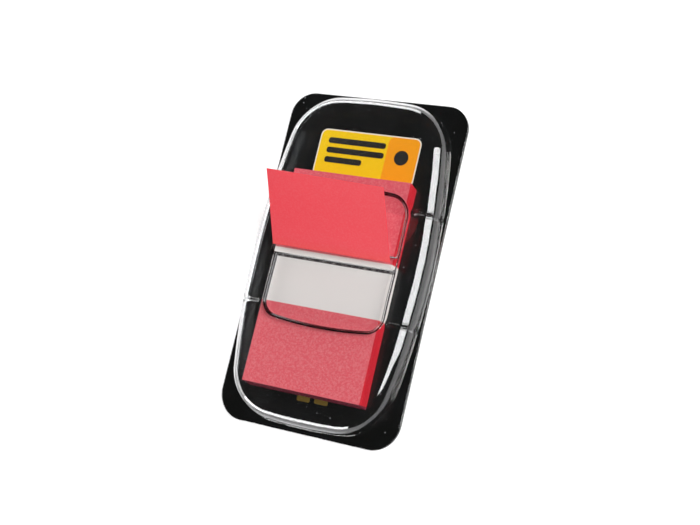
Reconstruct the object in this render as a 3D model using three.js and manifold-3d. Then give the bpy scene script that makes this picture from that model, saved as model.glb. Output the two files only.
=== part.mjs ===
// Sticky index tabs in a flat dispenser: a pad of film tabs on a black card, under a clear formed
// cover with a slot through which the next tab is drawn.
// Millimetres. The card lies on its back in the XY plane with its long side along Y. +Z points to
// the viewer, and the origin is at the middle of the card's back.

import * as THREE from 'three';
import { mergeVertices } from 'three/addons/utils/BufferGeometryUtils.js';
import Module from 'manifold-3d';

const wasm = await Module();
wasm.setup();

// One index tab
const TAB_WIDTH = 25.4;
const TAB_LENGTH = 43.2;
const FILM = 0.1;

// The pad of tabs, and where its middle lies on the card
const PAD_THICKNESS = 3.6;
const PAD_X = -0.84;
const PAD_Y = -4.67;

// The tab that is drawn through the slot
const DRAWN = 0.1;
const STAND_ANGLE = THREE.MathUtils.degToRad(40.8);
const STAND_TWIST = THREE.MathUtils.degToRad(5);

// The backing card, and the cover's flange on it
const CARD_THICKNESS = 0.6;
const FLANGE_SIDE = 0.2;
const FLANGE_END = 0.65;
const TOP_CORNER = 4.8;
const BOTTOM_CORNER = 5.6;

// The cover's dome, its middle a little up the card: a barrel outline round the pad, with a low wall
// that its round shoulder rises from
const COVER_WALL = 0.25;
const DOME_Y = 0.25;
const SIDE_ROOM = 6.4;
const END_ROOM = 11.55;
const SIDE_ARC = 147;
const END_ARC = 105;
const DOME_CORNER = 10.6;
const BASE_FILLET = 0.2;
const WALL_RISE = 1.1;
const DRAFT = THREE.MathUtils.degToRad(3);

// The sunk panel that keeps the pad flat, its step, and the slot across it with raised lips
const FILM_CLEARANCE = 0.2;
const PANEL_DEPTH = 0.45;
const PANEL_X = 0.15;
const PANEL_WIDTH = 24.4;
const PANEL_ABOVE = 11.8;
const PANEL_BELOW = 12.5;
const PANEL_TOP_CORNER = 3.8;
const PANEL_BOTTOM_CORNER = 2.8;
const PANEL_TOP_ARC = 130;
const PANEL_BOTTOM_ARC = 80;
const STEP_RUN = 0.8;
const SLOT_X = -0.4;
const SLOT_Y = 0.72;
const SLOT_WIDTH = 2.35;
const SLOT_CORNER = 0.5;
const SLOT_CLEARANCE = 0.25;
const LIP_WIDTH = 0.7;
const LIP_HEIGHT = 0.25;

// Narrow grooves formed across the dome's shoulders, above and below the slot
const GROOVE_WIDTH = 0.6;
const GROOVE_DEPTH = 0.3;
const GROOVE_REACH = 5.3;
const GROOVE_ABOVE = 10.4;
const GROOVE_BELOW = 11.2;

// How finely the round stretches are faceted
const ARC_STEPS = 8;
const FILLET_STEPS = 3;
const SHOULDER_STEPS = 9;
const TAB_STATIONS = 8;

// Sizes and levels worked out from those above
const padBase = CARD_THICKNESS;
const padTop = padBase + PAD_THICKNESS;
const flangeTop = CARD_THICKNESS + COVER_WALL;
const panelTop = padTop + FILM + FILM_CLEARANCE + COVER_WALL;
const domeTop = panelTop + PANEL_DEPTH;
const shoulder = (domeTop - flangeTop - WALL_RISE) / (1 - Math.sin(DRAFT)) - BASE_FILLET;
const domeHalfWidth = TAB_WIDTH / 2 + SIDE_ROOM;
const domeHalfLength = TAB_LENGTH / 2 + END_ROOM;
const cardHalfWidth = domeHalfWidth + FLANGE_SIDE;
const cardHalfLength = domeHalfLength + FLANGE_END;
const slotHalfLength = TAB_WIDTH / 2 + Math.abs(PAD_X - SLOT_X) + SLOT_CLEARANCE;
const slotLow = SLOT_Y - SLOT_WIDTH / 2;
const slotHigh = SLOT_Y + SLOT_WIDTH / 2;
const above = domeTop + PANEL_DEPTH;

/** A closed mesh geometry as a solid for joining and cutting. */
function solidOf(geometry) {
  const bare = geometry.clone();
  bare.deleteAttribute('normal');
  bare.deleteAttribute('uv');
  const merged = mergeVertices(bare, 1e-5);
  return new wasm.Manifold(new wasm.Mesh({
    numProp: 3,
    vertProperties: new Float32Array(merged.attributes.position.array),
    triVerts: new Uint32Array(merged.index.array),
  }));
}

/** A solid back as a three.js geometry. */
function geometryOf(solid) {
  const mesh = solid.getMesh();
  const geometry = new THREE.BufferGeometry();
  geometry.setAttribute('position', new THREE.BufferAttribute(mesh.vertProperties, 3));
  geometry.setIndex(new THREE.BufferAttribute(mesh.triVerts, 1));
  geometry.computeVertexNormals();
  return geometry;
}

/** The geometry through a stack of rings with as many points each, closed by a fan at both ends. */
function loft(rings) {
  const count = rings[0].length;
  const points = rings.flat();
  const faces = [];
  for (let r = 0; r + 1 < rings.length; r += 1) {
    for (let i = 0; i < count; i += 1) {
      const a = r * count + i;
      const b = r * count + (i + 1) % count;
      faces.push(a, b, b + count, a, b + count, a + count);
    }
  }
  const top = (rings.length - 1) * count;
  for (let i = 1; i + 1 < count; i += 1) {
    faces.push(0, i + 1, i);
    faces.push(top, top + i, top + i + 1);
  }
  const geometry = new THREE.BufferGeometry().setFromPoints(points);
  geometry.setIndex(faces);
  geometry.computeVertexNormals();
  return geometry;
}

/** An outline's points lifted to a level. */
function ringAt(outline, z) {
  return outline.map((p) => new THREE.Vector3(p.x, p.y, z));
}

/** The points of an arc, turning anticlockwise, with its first point or not. */
function arc(x, y, radius, from, to, first = true) {
  const points = new THREE.ArcCurve(x, y, radius, from, to, false).getPoints(ARC_STEPS);
  return first ? points : points.slice(1);
}

/** A rectangle with its own corner radius at the top and at the bottom. */
function roundedRectangle(left, right, bottom, top, topRadius, bottomRadius) {
  const quarter = Math.PI / 2;
  return [
    ...arc(right - topRadius, top - topRadius, topRadius, 0, quarter),
    ...arc(left + topRadius, top - topRadius, topRadius, quarter, 2 * quarter),
    ...arc(left + bottomRadius, bottom + bottomRadius, bottomRadius, 2 * quarter, 3 * quarter),
    ...arc(right - bottomRadius, bottom + bottomRadius, bottomRadius, 3 * quarter, 4 * quarter),
  ];
}

/** A flat plate or prism of an outline between two levels. */
function prism(outline, low, high) {
  return loft([ringAt(outline, low), ringAt(outline, high)]);
}

/** The dome's barrel outline, drawn in from its foot by an inset: four long arcs and four corners. */
function barrelOutline(inset) {
  const side = SIDE_ARC - inset;
  const end = END_ARC - inset;
  const corner = DOME_CORNER - inset;
  const sideX = domeHalfWidth - SIDE_ARC;
  const endY = domeHalfLength - END_ARC;
  // The corner's centre lies at a set distance from the centres of both long arcs.
  const toSide = side - corner;
  const toEnd = end - corner;
  const span = Math.hypot(sideX, endY);
  const along = (toSide ** 2 - toEnd ** 2 + span ** 2) / (2 * span);
  const off = Math.sqrt(toSide ** 2 - along ** 2);
  const ux = -sideX / span;
  const uy = endY / span;
  const cornerX = sideX + along * ux - off * uy;
  const cornerY = along * uy + off * ux;
  const sideTurn = Math.atan2(cornerY, cornerX - sideX);
  const endTurn = Math.atan2(cornerY - endY, cornerX);
  const half = (turn) => {
    const c = Math.cos(turn);
    const x = c * cornerX;
    const y = DOME_Y + c * cornerY;
    return [
      ...arc(c * sideX, DOME_Y, side, turn - sideTurn, turn + sideTurn, false),
      ...arc(x, y, corner, turn + sideTurn, turn + endTurn, false),
      ...arc(0, DOME_Y + c * endY, end, turn + endTurn, turn + Math.PI - endTurn, false),
      ...arc(-x, y, corner, turn + Math.PI - endTurn, turn + Math.PI - sideTurn, false),
    ];
  };
  return [...half(0), ...half(Math.PI)];
}

/** The wall's section as insets and levels, a set depth under the dome's outer face. */
function wallSection(depth) {
  const section = [];
  const foot = BASE_FILLET + depth;
  for (let i = 0; i <= FILLET_STEPS; i += 1) {
    const a = ((Math.PI / 2 - DRAFT) * i) / FILLET_STEPS;
    section.push([foot * Math.sin(a), flangeTop + BASE_FILLET - foot * Math.cos(a)]);
  }
  const shoulderZ = domeTop - shoulder;
  const shoulderIn = (BASE_FILLET + shoulder) * Math.cos(DRAFT) + WALL_RISE * Math.tan(DRAFT);
  const round = shoulder - depth;
  for (let i = 0; i <= SHOULDER_STEPS; i += 1) {
    const a = DRAFT + ((Math.PI / 2 - DRAFT) * i) / SHOULDER_STEPS;
    section.push([shoulderIn - round * Math.cos(a), shoulderZ + round * Math.sin(a)]);
  }
  return section;
}

/** The solid under a dome face that lies a set depth inside the outer one, down to a floor. */
function domeSolid(depth, floor) {
  const rings = wallSection(depth).map(([inset, z]) => ringAt(barrelOutline(inset), z));
  return solidOf(loft([ringAt(barrelOutline(0), floor), ...rings]));
}

/** One end of the panel's outline: a corner, a shallow arc that bows outwards, and a corner. */
function bowedEnd(halfWidth, end, corner, bow, turn) {
  const lean = Math.asin((halfWidth - corner) / (bow - corner));
  const toward = Math.sign(Math.sin(turn));
  const cornerY = end - toward * (bow - (bow - corner) * Math.cos(lean));
  const cornerX = toward * (halfWidth - corner);
  const quarter = Math.PI / 2;
  return [
    ...arc(PANEL_X + cornerX, cornerY, corner, turn - quarter, turn - lean),
    ...arc(PANEL_X, end - toward * bow, bow, turn - lean, turn + lean, false),
    ...arc(PANEL_X - cornerX, cornerY, corner, turn + lean, turn + quarter, false),
  ];
}

/** The sunk panel's outline at its floor, grown by a margin all round. */
function panelOutline(grow) {
  const halfWidth = PANEL_WIDTH / 2 + grow;
  const high = slotHigh + PANEL_ABOVE + grow;
  const low = slotLow - PANEL_BELOW - grow;
  return [
    ...bowedEnd(halfWidth, high, PANEL_TOP_CORNER + grow, PANEL_TOP_ARC + grow, Math.PI / 2),
    ...bowedEnd(halfWidth, low, PANEL_BOTTOM_CORNER + grow, PANEL_BOTTOM_ARC + grow, 1.5 * Math.PI),
  ];
}

/** What the sunk panel takes from the dome: its stepped pocket, with a floor that rises to the lips. */
function panelPocket(depth) {
  const low = slotLow - PANEL_BELOW;
  const high = slotHigh + PANEL_ABOVE;
  const floor = panelTop - depth;
  const slope = STEP_RUN / PANEL_DEPTH;
  const foot = depth * (Math.hypot(1, slope) - slope);
  const pocket = loft([
    ringAt(panelOutline(foot), floor),
    ringAt(panelOutline(foot + slope * (above - floor)), above),
  ]);
  const lips = new THREE.Shape();
  lips.moveTo(low - above, floor);
  lips.lineTo(slotLow - LIP_WIDTH, floor);
  lips.lineTo(slotLow, floor + LIP_HEIGHT);
  lips.lineTo(slotHigh, floor + LIP_HEIGHT);
  lips.lineTo(slotHigh + LIP_WIDTH, floor);
  lips.lineTo(high + above, floor);
  lips.lineTo(high + above, above);
  lips.lineTo(low - above, above);
  const across = 2 * domeHalfWidth;
  const room = new THREE.ExtrudeGeometry(lips, { depth: across, bevelEnabled: false });
  room.applyMatrix4(new THREE.Matrix4().set(0, 0, 1, -across / 2, 1, 0, 0, 0, 0, 1, 0, 0, 0, 0, 0, 1));
  return solidOf(pocket).intersect(solidOf(room));
}

/** The bars from which the shoulder grooves are cut, each wider by the same margin all round. */
function grooveBars(margin) {
  const from = domeHalfWidth - GROOVE_REACH - margin;
  const length = cardHalfWidth - from;
  const bars = [];
  for (const side of [-1, 1]) {
    for (const y of [SLOT_Y + GROOVE_ABOVE, SLOT_Y - GROOVE_BELOW]) {
      const bar = new THREE.BoxGeometry(length, GROOVE_WIDTH + 2 * margin, 2 * above);
      bar.translate(side * (from + length / 2), y, above + flangeTop);
      bars.push(solidOf(bar));
    }
  }
  return bars.reduce((joined, bar) => joined.add(bar));
}

/** A dome solid with its grooves and its sunk panel taken out, a set depth under the outer face. */
function formedDome(depth, floor) {
  const grooves = grooveBars(depth).subtract(domeSolid(depth + GROOVE_DEPTH, floor));
  return domeSolid(depth, floor).subtract(grooves).subtract(panelPocket(depth));
}

/** The clear cover: one formed sheet with its flange, dome, sunk panel, lips, slot and grooves. */
function coverGeometry() {
  const flange = solidOf(prism(cardOutline(), CARD_THICKNESS, flangeTop));
  const outer = formedDome(0, CARD_THICKNESS);
  const hollow = formedDome(COVER_WALL, CARD_THICKNESS - COVER_WALL);
  const slot = solidOf(prism(
    roundedRectangle(
      SLOT_X - slotHalfLength, SLOT_X + slotHalfLength, slotLow, slotHigh, SLOT_CORNER, SLOT_CORNER,
    ),
    padTop,
    above,
  ));
  return geometryOf(flange.add(outer).subtract(hollow).subtract(slot));
}

/** The outline that the card and the cover's flange share. */
function cardOutline() {
  return roundedRectangle(
    -cardHalfWidth, cardHalfWidth, -cardHalfLength, cardHalfLength, TOP_CORNER, BOTTOM_CORNER,
  );
}

/** The pad: a straight stack of film tabs. */
function padGeometry() {
  const pad = new THREE.BoxGeometry(TAB_WIDTH, TAB_LENGTH, PAD_THICKNESS);
  pad.translate(PAD_X, PAD_Y, padBase + PAD_THICKNESS / 2);
  return pad;
}

/** The drawn tab: flat on the pad as far as the slot's lower lip, then up through the slot. */
function drawnTabGeometry() {
  const start = PAD_Y - TAB_LENGTH / 2 + DRAWN;
  const bend = slotLow + FILM_CLEARANCE;
  const standing = TAB_LENGTH - (bend - start);
  const rings = [];
  for (let i = 0; i <= TAB_STATIONS; i += 1) {
    const share = i / TAB_STATIONS - 0.5;
    const x = PAD_X + share * TAB_WIDTH;
    const angle = STAND_ANGLE + share * STAND_TWIST;
    const tipY = bend + standing * Math.cos(angle);
    const tipZ = padTop + standing * Math.sin(angle);
    rings.push([
      new THREE.Vector3(x, start, padTop),
      new THREE.Vector3(x, bend, padTop),
      new THREE.Vector3(x, tipY, tipZ),
      new THREE.Vector3(x, tipY - FILM * Math.sin(angle), tipZ + FILM * Math.cos(angle)),
      new THREE.Vector3(x, bend - FILM * Math.tan(angle / 2), padTop + FILM),
      new THREE.Vector3(x, start, padTop + FILM),
    ]);
  }
  return loftBent(rings);
}

/** A loft along X through six-point sections that bend once, with two quads closing each end. */
function loftBent(rings) {
  const geometry = loft(rings);
  const count = rings[0].length;
  const sides = (rings.length - 1) * count * 6;
  const faces = Array.from(geometry.index.array).slice(0, sides);
  const far = (rings.length - 1) * count;
  for (const [a, b, c, d] of [[0, 1, 4, 5], [1, 2, 3, 4]]) {
    faces.push(a, c, b, a, d, c);
    faces.push(far + a, far + b, far + c, far + a, far + c, far + d);
  }
  geometry.setIndex(faces);
  geometry.computeVertexNormals();
  return geometry;
}

/** A named piece with its own plain material. */
function piece(name, geometry, color, roughness, opacity = 1) {
  const material = new THREE.MeshStandardMaterial({
    color, roughness, metalness: 0, opacity, transparent: opacity < 1,
  });
  const mesh = new THREE.Mesh(geometry, material);
  mesh.name = name;
  return mesh;
}

const dispenser = new THREE.Group();
dispenser.add(piece('backing_card', prism(cardOutline(), 0, CARD_THICKNESS), 0x0f1110, 0.3));
dispenser.add(piece('tab_pad', padGeometry(), 0xd9394f, 0.5));
dispenser.add(piece('drawn_tab', drawnTabGeometry(), 0xeb3c50, 0.45));
dispenser.add(piece('clear_cover', coverGeometry(), 0xf2f6f8, 0.08, 0.25));

export default dispenser;
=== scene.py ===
"""Sticky index tabs in a flat dispenser: the finished look of every piece, and the studio.

Sizes are in millimetres and become metres where a mesh is placed. The card lies on its back in the
XY plane, its long side runs along Y, and the origin is at the middle of its back.
"""

import logging
import math
import random
from dataclasses import dataclass
from enum import Enum

import bpy
import numpy as np
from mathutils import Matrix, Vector

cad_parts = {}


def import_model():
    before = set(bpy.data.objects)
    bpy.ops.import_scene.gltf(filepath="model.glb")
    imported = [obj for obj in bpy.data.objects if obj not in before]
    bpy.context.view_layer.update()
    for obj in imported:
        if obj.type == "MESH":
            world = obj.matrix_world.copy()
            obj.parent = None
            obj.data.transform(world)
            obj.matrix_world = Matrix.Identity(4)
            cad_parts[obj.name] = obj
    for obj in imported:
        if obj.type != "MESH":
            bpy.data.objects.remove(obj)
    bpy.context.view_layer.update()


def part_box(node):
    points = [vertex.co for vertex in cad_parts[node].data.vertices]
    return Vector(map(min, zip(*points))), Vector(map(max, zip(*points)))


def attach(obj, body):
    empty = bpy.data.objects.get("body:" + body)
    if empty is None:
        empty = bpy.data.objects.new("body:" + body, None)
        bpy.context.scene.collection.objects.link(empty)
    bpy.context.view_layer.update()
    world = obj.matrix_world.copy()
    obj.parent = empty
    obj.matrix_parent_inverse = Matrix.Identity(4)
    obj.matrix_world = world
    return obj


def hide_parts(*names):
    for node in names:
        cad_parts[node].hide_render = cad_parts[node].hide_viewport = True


MM = 0.001
SMOOTH_ANGLE = math.radians(38)
MERGE_DISTANCE = 0.0001 * MM

logging.basicConfig(level=logging.INFO, format="%(message)s")
log = logging.getLogger("dispenser")

Colour = tuple[float, float, float, float]
Pair = tuple[float, float]
Socket = bpy.types.NodeSocket


class Ink(Enum):
    """The label's printed inks, by the names of their materials."""

    RIM = "pale_rim"
    YELLOW = "yellow_ink"
    ORANGE = "orange_ink"
    # Yellow print painted darker as shade where it peeks out under the pad's lower end.
    OCHRE = "ochre_ink"
    BLACK = "black_ink"


@dataclass(frozen=True)
class NodeBox:
    """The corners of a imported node, in millimetres."""

    low: Vector
    high: Vector

    @classmethod
    def of(cls, node: str) -> "NodeBox":
        """Read a node's box from the frame.

        Args:
            node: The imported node's name.

        Returns:
            Its lowest and highest corners.
        """
        low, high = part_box(node)
        return cls(Vector(low) / MM, Vector(high) / MM)

    @property
    def size(self) -> Vector:
        """The box's three sides."""
        return self.high - self.low

    @property
    def middle(self) -> Vector:
        """The box's centre."""
        return (self.high + self.low) / 2


def deselect() -> None:
    """Leave object mode and select nothing."""
    if bpy.context.object and bpy.context.object.mode != "OBJECT":
        bpy.ops.object.mode_set(mode="OBJECT")
    bpy.ops.object.select_all(action="DESELECT")


def activate(piece: bpy.types.Object) -> None:
    """Select one object alone and make it active.

    Args:
        piece: The object.
    """
    deselect()
    piece.select_set(True)
    bpy.context.view_layer.objects.active = piece


def shaped_grid(name: str, points: np.ndarray) -> bpy.types.Object:
    """Add a grid primitive and draw each of its vertices to its place.

    Args:
        name: The new object's name.
        points: Rows by columns by three, in millimetres.

    Returns:
        The grid, with its faces towards columns crossed with rows.
    """
    rows, columns, _ = points.shape
    deselect()
    bpy.ops.mesh.primitive_grid_add(
        x_subdivisions=columns - 1, y_subdivisions=rows - 1, size=1, calc_uvs=True,
    )
    grid = bpy.context.object
    grid.name = name
    flat = np.empty(len(grid.data.vertices) * 3)
    grid.data.vertices.foreach_get("co", flat)
    flat = flat.reshape(-1, 3)
    column = np.rint((flat[:, 0] + 0.5) * (columns - 1)).astype(int)
    row = np.rint((flat[:, 1] + 0.5) * (rows - 1)).astype(int)
    grid.data.vertices.foreach_set("co", (points[row, column] * MM).ravel())
    grid.data.update()
    return grid


def joined(name: str, parts: list[bpy.types.Object]) -> bpy.types.Object:
    """Join meshes into one object.

    Args:
        name: The joined object's name.
        parts: The meshes, the first of which keeps its place.

    Returns:
        The joined object.
    """
    deselect()
    for part in parts:
        part.select_set(True)
    bpy.context.view_layer.objects.active = parts[0]
    if len(parts) > 1:
        bpy.ops.object.join()
    parts[0].name = name
    return parts[0]


def close_mesh(piece: bpy.types.Object) -> None:
    """Merge a mesh's doubled vertices and turn its faces outwards.

    Args:
        piece: The mesh.
    """
    activate(piece)
    bpy.ops.object.mode_set(mode="EDIT")
    bpy.ops.mesh.select_all(action="SELECT")
    bpy.ops.mesh.remove_doubles(threshold=MERGE_DISTANCE)
    bpy.ops.mesh.dissolve_degenerate(threshold=MERGE_DISTANCE)
    bpy.ops.mesh.normals_make_consistent(inside=False)
    bpy.ops.object.mode_set(mode="OBJECT")


def smooth(piece: bpy.types.Object) -> None:
    """Shade a mesh smooth except across its sharp edges."""
    activate(piece)
    bpy.ops.object.shade_smooth_by_angle(angle=SMOOTH_ANGLE)


def apply_modifier(piece: bpy.types.Object, kind: str, **settings: object) -> None:
    """Give a piece a modifier and apply it.

    Args:
        piece: The piece.
        kind: The modifier's type.
        **settings: Attributes of the modifier.
    """
    activate(piece)
    modifier = piece.modifiers.new(kind.lower(), kind)
    for key, value in settings.items():
        setattr(modifier, key, value)
    bpy.ops.object.modifier_apply(modifier=modifier.name)


def upright_edges(block: bpy.types.Object) -> list[bool]:
    """Find a block's upright edges.

    Args:
        block: The block.

    Returns:
        Whether it stands upright, for each edge.
    """
    corners = block.data.vertices
    ends = [[corners[v].co for v in edge.vertices] for edge in block.data.edges]
    return [abs((a - b).normalized().z) > 0.5 for a, b in ends]


def place(piece: bpy.types.Object) -> None:
    """Put an object's place into its mesh, so that the object sits at the origin."""
    activate(piece)
    bpy.ops.object.transform_apply(location=True, rotation=True, scale=True)


def dress(piece: bpy.types.Object, materials: list[bpy.types.Material]) -> None:
    """Give a piece its materials in the order of its slots.

    Args:
        piece: The piece.
        materials: The materials, the first slot's first.
    """
    piece.data.materials.clear()
    for material in materials:
        piece.data.materials.append(material)


def register(piece: bpy.types.Object, node: str | None) -> None:
    """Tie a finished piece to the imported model.

    Args:
        piece: The finished piece.
        node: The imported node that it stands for, if any.
    """
    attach(piece, "root")
    if node:
        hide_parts(node)
    log.info("%s: %d faces", piece.name, len(piece.data.polygons))


def grey(level: float) -> Colour:
    """A neutral colour of one level."""
    return (level, level, level, 1.0)


def ease(share: np.ndarray) -> np.ndarray:
    """A smooth step from 0 to 1 as the share goes from 0 to 1."""
    s = np.clip(share, 0.0, 1.0)
    return s * s * (3.0 - 2.0 * s)


@dataclass(frozen=True)
class Pattern:
    """A noise pattern and the stretch of its values that counts.

    Its grain is in millimetres, detail is how many finer layers it has, and stretch is how much
    finer it is along each axis. Its values low and high become 0 and 1.
    """

    grain: float
    detail: float = 3.0
    stretch: tuple[float, float, float] = (1.0, 1.0, 1.0)
    low: float = 0.0
    high: float = 1.0


@dataclass(frozen=True)
class Window:
    """A rectangle seen from above: its centre, its half sizes and how wide its soft edge is."""

    middle: Pair
    reach: Pair
    blur: float


class Painter:
    """A short way to write the node tree of a material or a world."""

    def __init__(self, owner: bpy.types.Material | bpy.types.World) -> None:
        """Empty the owner's node tree, to write it afresh.

        Args:
            owner: The material or the world that the tree belongs to.
        """
        owner.use_nodes = True
        self.owner = owner
        self.tree = owner.node_tree
        self.tree.nodes.clear()

    @classmethod
    def material(cls, name: str) -> "Painter":
        """Start a new material."""
        return cls(bpy.data.materials.new(name))

    def wire(
        self, kind: str, output: int | str, inputs: dict[int | str, object], **settings: object,
    ) -> Socket:
        """Add a node and feed its inputs.

        Args:
            kind: The node's type name without its ShaderNode prefix.
            output: The output that is wanted.
            inputs: A socket to link or a value to set, for each input that is used.
            **settings: Attributes of the node, such as operation.

        Returns:
            The output's socket.
        """
        node = self.tree.nodes.new("ShaderNode" + kind)
        for key, value in settings.items():
            setattr(node, key, value)
        for key, value in inputs.items():
            if isinstance(value, Socket):
                self.tree.links.new(value, node.inputs[key])
            else:
                node.inputs[key].default_value = value
        return node.outputs[output]

    def math(self, operation: str, *values: object) -> Socket:
        """Combine sockets or numbers by a math operation."""
        return self.wire("Math", 0, dict(enumerate(values)), operation=operation)

    def ramp(self, value: Socket, low: float, high: float) -> Socket:
        """Map a value to 0 at low and 1 at high, and hold it beyond."""
        inputs = {"Value": value, "From Min": low, "From Max": high}
        return self.wire("MapRange", "Result", inputs, clamp=True)

    def mix(self, share: object, first: object, second: object) -> Socket:
        """Mix two colours, with share as the second one's part."""
        return self.wire("Mix", 2, {"Factor": share, 6: first, 7: second}, data_type="RGBA")

    def coordinates(self, kind: str) -> Socket:
        """Texture coordinates of one kind, such as Object."""
        return self.wire("TexCoord", kind, {})

    def part(self, kind: str, letter: str) -> Socket:
        """One component of the texture coordinates of one kind."""
        return self.wire("SeparateXYZ", letter, {0: self.coordinates(kind)})

    def ray(self, kind: str) -> Socket:
        """1 for a ray of one kind, and 0 for all others."""
        return self.wire("LightPath", kind, {})

    def noise(self, pattern: Pattern) -> Socket:
        """Add a noise pattern.

        Args:
            pattern: The pattern.

        Returns:
            Its value, about 0.5 in the mean.
        """
        scale = Vector(pattern.stretch) / (pattern.grain * MM)
        where = self.wire("Mapping", 0, {"Vector": self.coordinates("Object"), "Scale": scale})
        inputs = {"Vector": where, "Scale": 1.0, "Detail": pattern.detail}
        return self.wire("TexNoise", "Fac", inputs)

    def share(self, pattern: Pattern) -> Socket:
        """A noise pattern's value between its low and its high one."""
        return self.ramp(self.noise(pattern), pattern.low, pattern.high)

    def specks(self, spacing: float, radius: float) -> Socket:
        """Scatter small round specks.

        Args:
            spacing: The mean distance between specks in millimetres.
            radius: A speck's largest radius in millimetres.

        Returns:
            1 on a speck and 0 off it.
        """
        inputs = {"Vector": self.coordinates("Object"), "Scale": 1.0 / (spacing * MM)}
        away = self.wire("TexVoronoi", "Distance", inputs)
        rank = self.wire("SeparateColor", 0, {0: away.node.outputs["Color"]})
        return self.math("LESS_THAN", away, self.math("MULTIPLY", rank, radius / spacing))

    def window(self, window: Window) -> Socket:
        """Mark a rectangle seen from above.

        Args:
            window: The rectangle.

        Returns:
            1 inside it and 0 outside it.
        """
        shares = []
        for letter, centre, half in zip("XY", window.middle, window.reach):
            offset = self.math("SUBTRACT", self.part("Object", letter), centre * MM)
            away = self.math("ABSOLUTE", offset)
            shares.append(self.ramp(away, (half + window.blur) * MM, half * MM))
        return self.math("MULTIPLY", *shares)

    def bump(self, height: Socket, strength: float, distance: float) -> Socket:
        """Bend the surface's normal by a height pattern.

        Args:
            height: The pattern.
            strength: How strongly it shows.
            distance: Its full height in millimetres.

        Returns:
            The bent normal's socket.
        """
        inputs = {"Strength": strength, "Distance": distance * MM, "Height": height}
        return self.wire("Bump", 0, inputs)

    def principled(self, **inputs: object) -> Socket:
        """Add a Principled shader, with underscores for the spaces in its inputs' names."""
        named = {key.replace("_", " "): value for key, value in inputs.items()}
        return self.wire("BsdfPrincipled", 0, named)

    def blend(self, share: object, first: Socket, second: Socket) -> Socket:
        """Mix two shaders, with share as the second one's part."""
        return self.wire("MixShader", 0, {0: share, 1: first, 2: second})

    def finish(self, surface: Socket) -> bpy.types.Material | bpy.types.World:
        """Send a shader to the output.

        Args:
            surface: The shader.

        Returns:
            The material or the world.
        """
        kind = "Material" if isinstance(self.owner, bpy.types.Material) else "World"
        output = self.tree.nodes.new("ShaderNodeOutput" + kind)
        self.tree.links.new(surface, output.inputs["Surface"])
        return self.owner


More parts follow.
